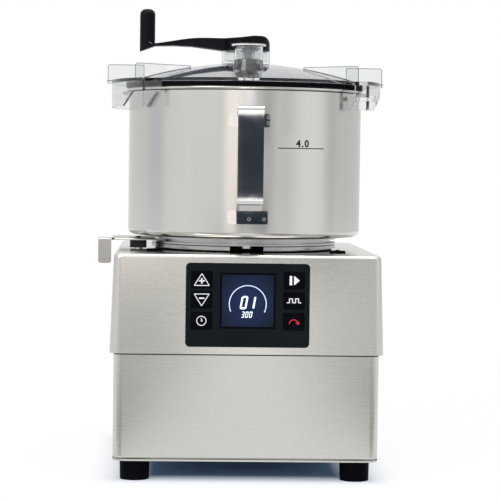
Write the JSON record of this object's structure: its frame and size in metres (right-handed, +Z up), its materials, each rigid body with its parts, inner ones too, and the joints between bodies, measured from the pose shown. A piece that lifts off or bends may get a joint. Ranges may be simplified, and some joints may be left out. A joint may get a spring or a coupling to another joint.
{
  "type": "cutter emulsifier",
  "caption": "Countertop bowl cutter: steel motor base with a sloping key panel, lift-off steel bowl, curved blades, clear locking lid and a stirring lever.",
  "frame": {"origin": "middle of the machine's overall footprint at table height, under its feet", "axes": "+Z up, -Y to the front with the key panel and the bowl handle, +X to the right seen from the front"},
  "size_m": [0.2956, 0.3588, 0.4744],
  "materials": {
    "brushed_steel": "fine brushed stainless steel",
    "polished_steel": "polished stainless steel",
    "blade_steel": "ground blade steel",
    "screw_steel": "zinc plated steel",
    "dark_screw": "blackened steel",
    "shaft_steel": "turned steel",
    "black_rubber": "matt black rubber",
    "scraper_rubber": "pale food-grade rubber",
    "panel_foil": "dark slate foil",
    "key_foil": "dark key caps with pale symbols",
    "display": "navy lit window",
    "electronics": "green circuit board",
    "module": "dark moulded plastic",
    "cast_aluminium": "cast aluminium",
    "core_iron": "stacked core plates",
    "winding_copper": "varnished copper wire",
    "black_plastic": "satin black plastic",
    "cutter_plastic": "satin dark plastic",
    "arm_plastic": "pale food-grade plastic",
    "clear_plastic": "clear polycarbonate"
  },
  "bodies": {
    "base": {"lower_casing": "brushed_steel", "bottom_plate": "brushed_steel", "rubber_feet": "black_rubber", "foot_screws": "screw_steel", "upper_casing": "brushed_steel", "casing_screws": "screw_steel", "control_panel": "panel_foil", "display_window": "display", "display_module": "module", "control_board": "electronics", "support_ring": "brushed_steel", "ring_screws": "screw_steel", "bowl_stud": "polished_steel", "deck_pads": "black_rubber", "latch_post": "polished_steel", "latch_screw": "dark_screw", "latch_sensor": "module", "motor_flange": "cast_aluminium", "motor_housing": "cast_aluminium", "lower_bell": "cast_aluminium", "upper_bearing": "shaft_steel", "lower_bearing": "shaft_steel", "shaft_seal": "black_rubber", "stator": "core_iron", "stator_windings": "winding_copper", "speed_drive": "cast_aluminium", "cable_gland": "black_plastic"},
    "motor": {"drive_shaft": "shaft_steel", "rotor": "core_iron", "cooling_fan": "black_plastic"},
    "bowl": {"bowl_shell": "polished_steel", "bowl_chimney": "polished_steel", "bowl_disc": "brushed_steel", "bowl_lugs": "polished_steel", "bowl_handle": "polished_steel"},
    "cutter": {"cutter_hub": "cutter_plastic", "lower_blade": "blade_steel", "upper_blade": "blade_steel", "blade_spacer": "blade_steel", "blade_nut": "blade_steel", "cutter_knob": "cutter_plastic"},
    "gasket": {"lid_gasket": "black_rubber"},
    "lid": {"lid_cover": "clear_plastic", "lid_hub": "clear_plastic"},
    "stirrer": {"stirring_lever": "black_plastic", "lever_spindle": "shaft_steel", "scraper_arm": "arm_plastic", "wall_scrapers": "scraper_rubber", "scraper_screw": "screw_steel"},
    "cap": {"feed_cap": "clear_plastic"},
    "latch": {"latch_lever": "polished_steel", "latch_magnet": "module"},
    "key_plus": {"key_plus": "key_foil"},
    "key_minus": {"key_minus": "key_foil"},
    "key_timer": {"key_timer": "key_foil"},
    "key_start": {"key_start": "key_foil"},
    "key_pulse": {"key_pulse": "key_foil"},
    "key_reverse": {"key_reverse": "key_foil"}
  },
  "joints": [
    {"name": "motor_spin", "type": "hinge", "parent": "base", "child": "motor", "pos_m": [0.00325, -0.01613, 0.137], "axis": [0, 0, 1], "continuous": true},
    {"name": "bowl_lift", "type": "slide", "parent": "base", "child": "bowl", "axis": [0, 0, 1], "range_m": [0, 0.1]},
    {"name": "cutter_spin", "type": "hinge", "parent": "bowl", "child": "cutter", "pos_m": [0.00325, -0.01613, 0.28], "axis": [0, 0, 1], "continuous": true},
    {"name": "lid_lift", "type": "slide", "parent": "bowl", "child": "gasket", "axis": [0, 0, 1], "range_m": [0, 0.16]},
    {"name": "lid_turn", "type": "hinge", "parent": "gasket", "child": "lid", "pos_m": [0.00325, -0.01613, 0.4], "axis": [0, 0, 1], "range_deg": [0, 15]},
    {"name": "lever_spin", "type": "hinge", "parent": "lid", "child": "stirrer", "pos_m": [0.00325, -0.01613, 0.42], "axis": [0, 0, 1], "continuous": true},
    {"name": "cap_lift", "type": "slide", "parent": "lid", "child": "cap", "axis": [0, 0, 1], "range_m": [0, 0.03]},
    {"name": "latch_swing", "type": "hinge", "parent": "base", "child": "latch", "pos_m": [-0.10675, -0.04013, 0.235], "axis": [0, 0, 1], "range_deg": [-5, 0]},
    {"name": "key_plus_press", "type": "slide", "parent": "base", "child": "key_plus", "axis": [0, 0.9994, -0.0357], "range_m": [0, 0.0006], "stiffness_N_per_m": 600},
    {"name": "key_minus_press", "type": "slide", "parent": "base", "child": "key_minus", "axis": [0, 0.9994, -0.0357], "range_m": [0, 0.0006], "stiffness_N_per_m": 600},
    {"name": "key_timer_press", "type": "slide", "parent": "base", "child": "key_timer", "axis": [0, 0.9994, -0.0357], "range_m": [0, 0.0006], "stiffness_N_per_m": 600},
    {"name": "key_start_press", "type": "slide", "parent": "base", "child": "key_start", "axis": [0, 0.9994, -0.0357], "range_m": [0, 0.0006], "stiffness_N_per_m": 600},
    {"name": "key_pulse_press", "type": "slide", "parent": "base", "child": "key_pulse", "axis": [0, 0.9994, -0.0357], "range_m": [0, 0.0006], "stiffness_N_per_m": 600},
    {"name": "key_reverse_press", "type": "slide", "parent": "base", "child": "key_reverse", "axis": [0, 0.9994, -0.0357], "range_m": [0, 0.0006], "stiffness_N_per_m": 600}
  ],
  "couplings": [
    {"joint": "cutter_spin", "follows": "motor_spin", "ratio": 1}
  ]
}
